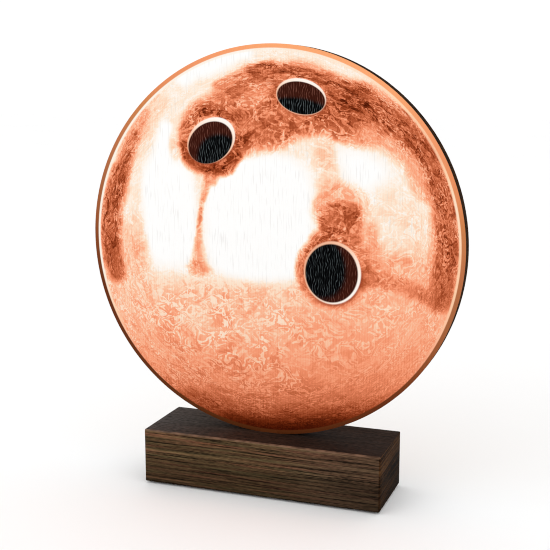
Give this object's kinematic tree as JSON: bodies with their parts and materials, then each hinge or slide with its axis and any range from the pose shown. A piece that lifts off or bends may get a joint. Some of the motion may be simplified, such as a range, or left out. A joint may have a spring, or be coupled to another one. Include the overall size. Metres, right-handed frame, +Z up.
{
  "type": "bowling trophy",
  "caption": "Flat plywood disc printed as a copper-toned bowling ball, standing on edge on a dark wooden block, screwed up from below.",
  "frame": {"origin": "on the table, under the middle of the base", "axes": "+Z up, +X along the base's length to the viewer's right, printed face towards -Y"},
  "size_m": [0.192, 0.041, 0.2205],
  "materials": {
    "print": "satin cured ink over wood grain",
    "ply_edge": "charred laser-cut edge",
    "back_veneer": "fine sanded natural veneer",
    "base_wood": "dark stained, satin lacquer",
    "zinc_steel": "zinc plated",
    "felt": "pressed felt"
  },
  "bodies": {
    "root": {"front_print": "print", "ply_front_face": "ply_edge", "ply_front_crossband": "ply_edge", "ply_core": "ply_edge", "ply_back_crossband": "ply_edge", "ply_back_face": "back_veneer", "base_block": "base_wood", "screw_left": "zinc_steel", "screw_right": "zinc_steel", "washer_left": "zinc_steel", "washer_right": "zinc_steel", "felt_pad_front_left": "felt", "felt_pad_front_right": "felt", "felt_pad_back_left": "felt", "felt_pad_back_right": "felt"}
  },
  "joints": []
}
